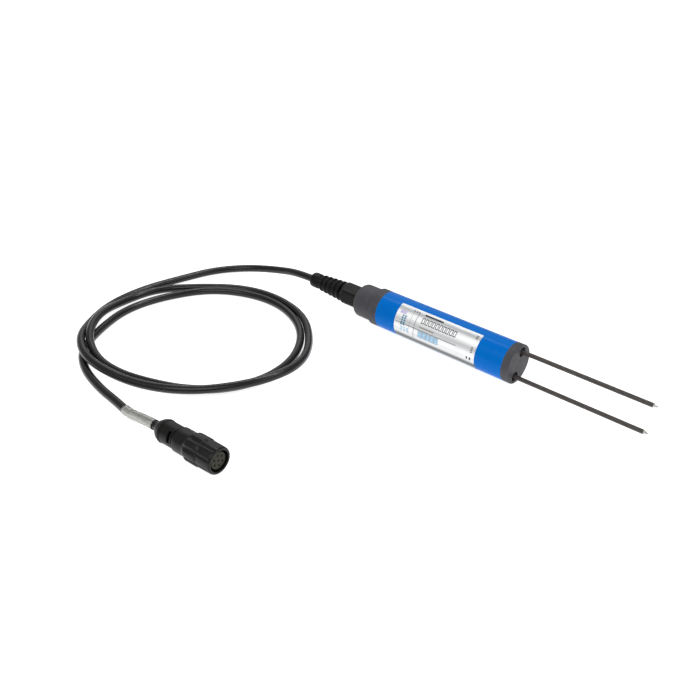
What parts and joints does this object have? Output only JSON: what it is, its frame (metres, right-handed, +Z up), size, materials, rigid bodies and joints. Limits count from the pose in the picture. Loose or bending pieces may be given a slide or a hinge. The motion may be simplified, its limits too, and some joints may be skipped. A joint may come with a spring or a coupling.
{
  "type": "soil moisture sensor",
  "caption": "Two-rod soil moisture probe: a slim round housing with pointed rods, a bend-protected gland, a loosely coiled cable and a round connector with a turning ring.",
  "frame": {"origin": "on the floor under the probe's axis, half way between the rod tips and the cable gland's mouth", "axes": "+X along the probe towards the rod tips, +Z up, the cable and connector lie on the -Y side"},
  "size_m": [0.445, 0.2494, 0.032],
  "materials": {
    "blue_tube": "glossy extruded tube",
    "grey_cap": "turned grey plastic",
    "gland_black": "moulded black nylon",
    "seal_rubber": "moulded rubber",
    "cable_jacket": "extruded black jacket",
    "core_insulation": "extruded coloured insulation",
    "label_foil": "brushed foil",
    "marker_foil": "foil under a clear sleeve",
    "rod_steel": "ground stainless steel",
    "rod_coating": "dark grey coating",
    "bush_black": "black insulating bush",
    "potting": "cast epoxy resin",
    "brass_terminal": "machined brass",
    "gold_contact": "gold plated",
    "board_green": "glass fibre laminate",
    "tin_can": "tinned steel",
    "chip_black": "moulded epoxy",
    "header_green": "moulded terminal block",
    "support_white": "moulded nylon",
    "bead_epoxy": "dipped epoxy",
    "plug_black": "moulded glass-filled nylon",
    "insert_grey": "moulded contact insert",
    "spring_steel": "spring steel"
  },
  "bodies": {
    "root": {"housing_tube": "blue_tube", "front_cap": "grey_cap", "front_o_ring": "seal_rubber", "front_potting": "potting", "rear_collar": "grey_cap", "rear_cap": "grey_cap", "rear_o_ring": "seal_rubber", "type_label": "label_foil", "rod_upper": "rod_steel", "rod_lower": "rod_steel", "rod_coating_upper": "rod_coating", "rod_coating_lower": "rod_coating", "rod_bush_upper": "bush_black", "rod_bush_lower": "bush_black", "rod_clamp_upper": "brass_terminal", "rod_clamp_lower": "brass_terminal", "circuit_board": "board_green", "board_shield": "tin_can", "board_chips": "chip_black", "wire_header": "header_green", "board_support_front": "support_white", "board_support_rear": "support_white", "temperature_sensor": "bead_epoxy", "sensor_leads": "rod_steel", "gland_stem": "gland_black", "gland_lock_nut": "gland_black", "gland_seal": "seal_rubber", "gland_nut": "gland_black", "gland_boot": "gland_black", "cable_inner_end": "cable_jacket", "cable_cores": "core_insulation", "cable": "cable_jacket", "marker_sleeve": "marker_foil", "plug_rear_shell": "plug_black", "plug_grommet": "seal_rubber", "plug_body": "plug_black", "plug_cores": "core_insulation", "ring_clip": "spring_steel", "plug_face_seal": "seal_rubber", "contact_insert": "insert_grey", "contact_sockets": "gold_contact"},
    "ring": {"coupling_ring": "plug_black"}
  },
  "joints": [
    {"name": "coupling_ring_turn", "type": "hinge", "parent": "root", "child": "ring", "pos_m": [-0.05527, -0.22273, 0.0107], "axis": [0.9982, 0.0593, 0], "continuous": true}
  ]
}
